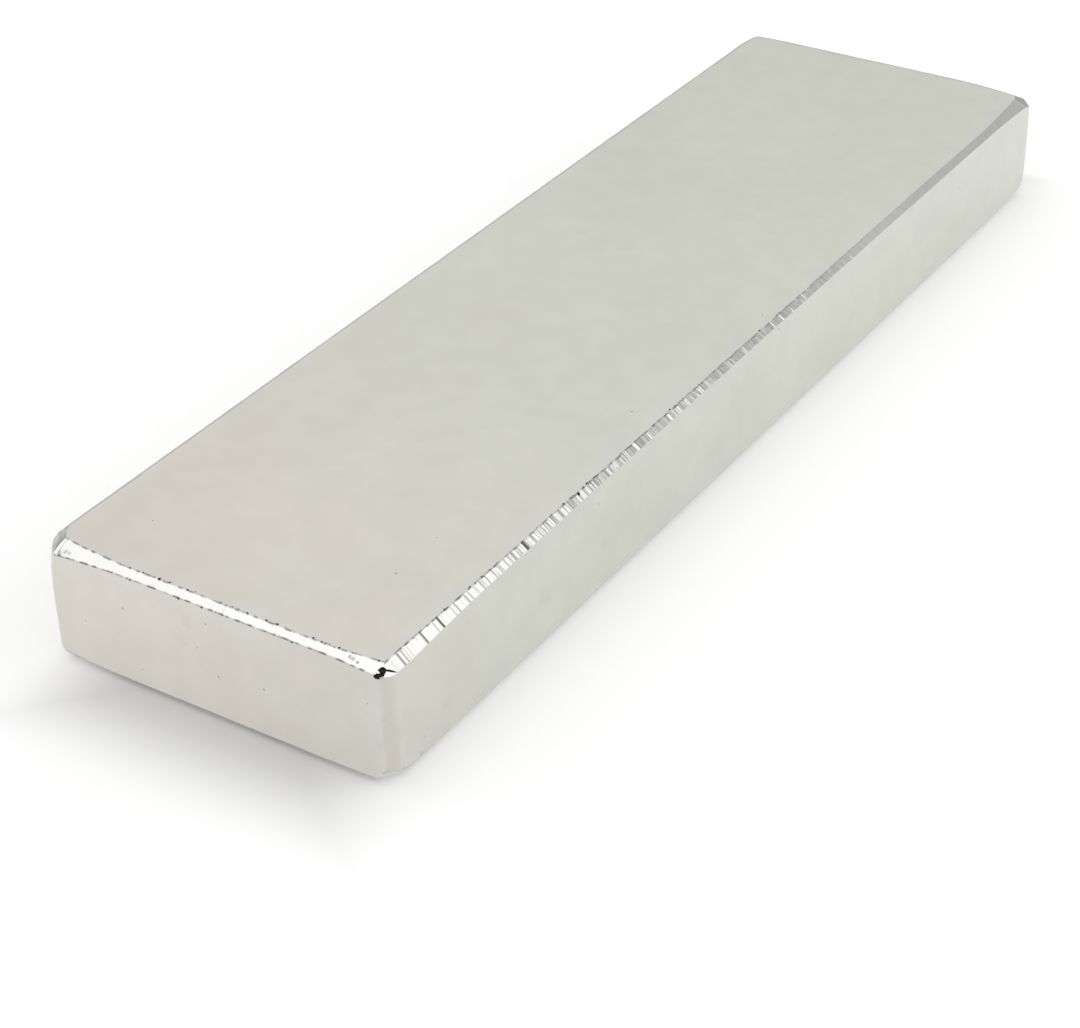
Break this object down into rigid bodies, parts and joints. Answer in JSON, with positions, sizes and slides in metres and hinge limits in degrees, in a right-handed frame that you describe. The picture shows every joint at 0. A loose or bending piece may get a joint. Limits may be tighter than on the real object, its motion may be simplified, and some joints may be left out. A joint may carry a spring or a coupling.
{
  "type": "block magnet",
  "caption": "Long flat rectangular block magnet with satin nickel plating, flat pole faces and ground chamfers that widen at the corners.",
  "frame": {"origin": "centre of the lower pole face, which the block lies on", "axes": "+X along the block's length, +Y across its width, +Z through its thickness, from the lower pole face to the upper one"},
  "size_m": [0.105, 0.03, 0.01],
  "materials": {
    "nickel_plating": "satin"
  },
  "bodies": {
    "root": {"magnet_block": "nickel_plating"}
  },
  "joints": []
}
